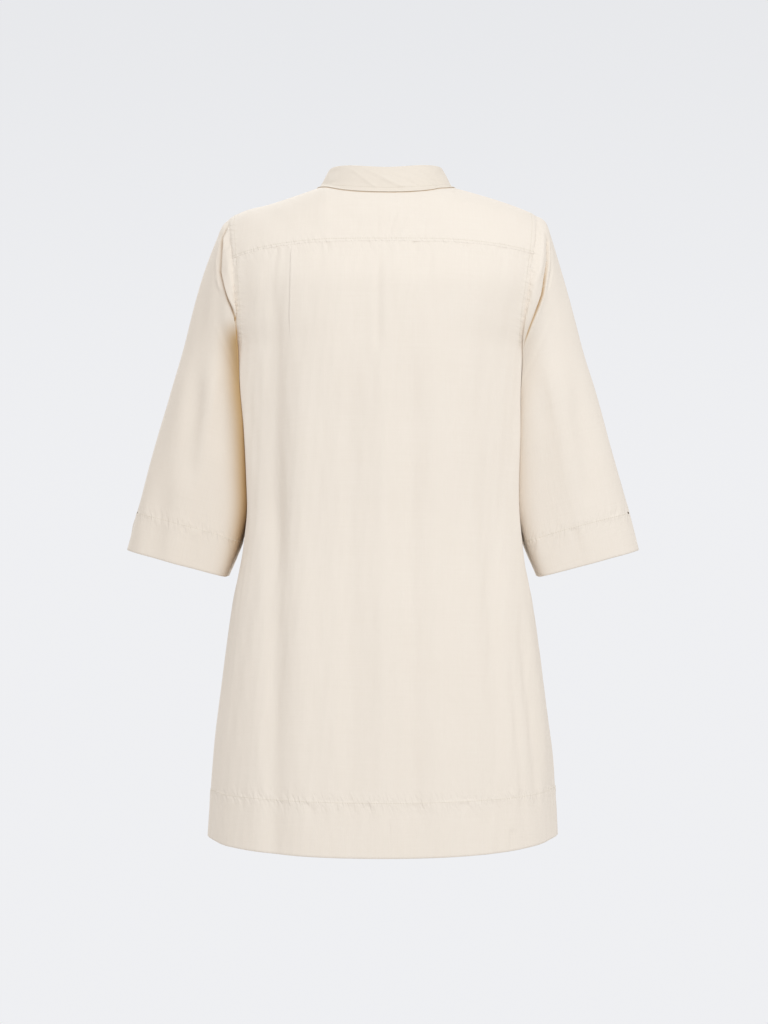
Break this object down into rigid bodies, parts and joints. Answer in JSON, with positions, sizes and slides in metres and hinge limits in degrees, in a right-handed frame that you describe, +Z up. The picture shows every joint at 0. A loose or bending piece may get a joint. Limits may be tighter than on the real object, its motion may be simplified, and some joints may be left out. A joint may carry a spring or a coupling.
{
  "type": "tunic top",
  "caption": "Worn, hollow shirt tunic with a turned-down collar, back yoke, short front placket, wide three-quarter sleeves and deep turned hems.",
  "frame": {"origin": "middle of the neck at the height of the shoulders' neck ends, where the wearer carries the garment", "axes": "+X to the wearer's right, +Y to the wearer's front, +Z up"},
  "size_m": [0.6384, 0.3018, 0.8426],
  "materials": {
    "cloth": "plain-weave cotton, ecru, matt with a faint slub",
    "collar_cloth": "the same cloth in two layers, pressed, with an edge stitch",
    "button": "cream resin, soft sheen"
  },
  "bodies": {
    "root": {"yoke": "cloth", "back": "cloth", "front": "cloth", "sleeve_left": "cloth", "sleeve_right": "cloth", "collar_fall": "collar_cloth", "collar_stand": "collar_cloth", "placket": "cloth", "button_1": "button", "button_2": "button", "button_3": "button", "button_4": "button", "button_5": "button"}
  },
  "joints": []
}
